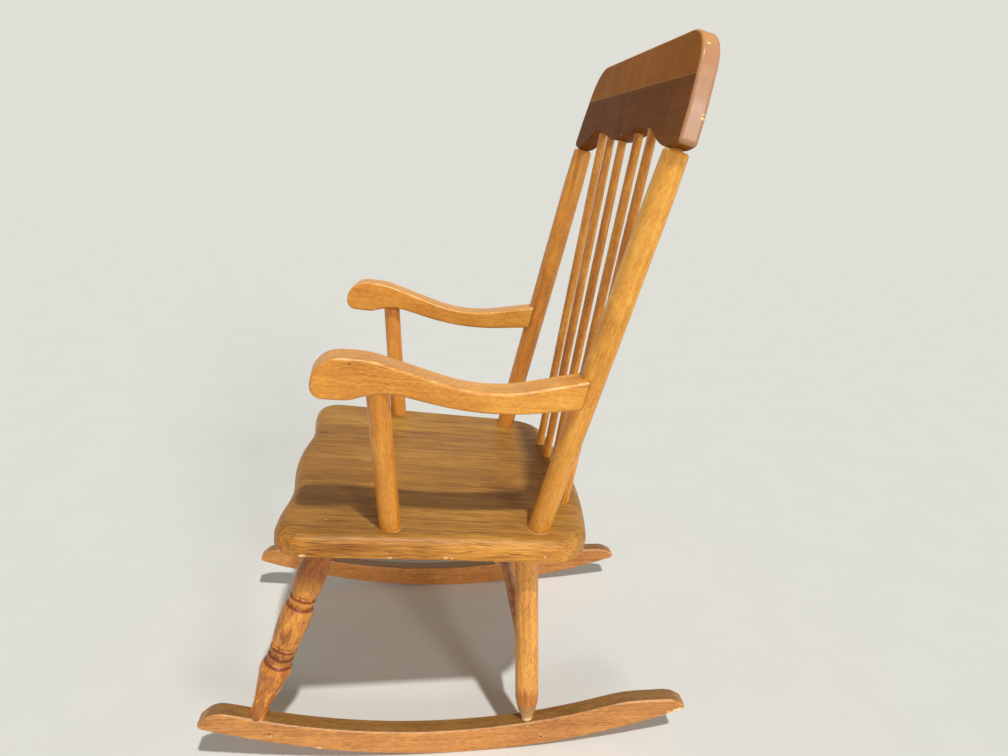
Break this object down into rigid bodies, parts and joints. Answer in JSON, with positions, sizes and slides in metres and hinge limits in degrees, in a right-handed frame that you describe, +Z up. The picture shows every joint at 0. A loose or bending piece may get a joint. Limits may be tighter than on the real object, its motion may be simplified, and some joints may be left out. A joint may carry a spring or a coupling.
{
  "type": "rocking_chair",
  "caption": "Child's wooden rocking chair with a scalloped crest rail over plain spindles, bent arms, a plank seat, turned front legs and curved rockers",
  "frame": {"origin": "on the floor under the middle of the overall box, with the chair at rest on its rockers", "axes": "+Z up, -Y the way the sitter faces, +X the sitter's left"},
  "size_m": [0.413, 0.5427, 0.7773],
  "materials": {
    "seat_wood": "satin",
    "crest_wood": "satin",
    "rocker_wood": "satin",
    "frame_wood": "satin",
    "dowel_wood": "matte"
  },
  "bodies": {
    "root": {"seat_board_1": "seat_wood", "seat_board_2": "seat_wood", "seat_board_3": "seat_wood", "seat_board_4": "seat_wood", "crest_lower_board": "crest_wood", "crest_upper_board": "crest_wood", "rocker_left": "rocker_wood", "rocker_right": "rocker_wood", "arm_left": "frame_wood", "arm_right": "frame_wood", "arm_dowels": "dowel_wood", "back_post_left": "frame_wood", "back_post_right": "frame_wood", "arm_support_left": "frame_wood", "arm_support_right": "frame_wood", "front_leg_left": "frame_wood", "front_leg_right": "frame_wood", "rear_leg_left": "frame_wood", "rear_leg_right": "frame_wood", "spindle_1": "frame_wood", "spindle_2": "frame_wood", "spindle_3": "frame_wood", "spindle_4": "frame_wood", "spindle_5": "frame_wood", "front_stretcher": "frame_wood", "rear_stretcher": "frame_wood"}
  },
  "joints": []
}
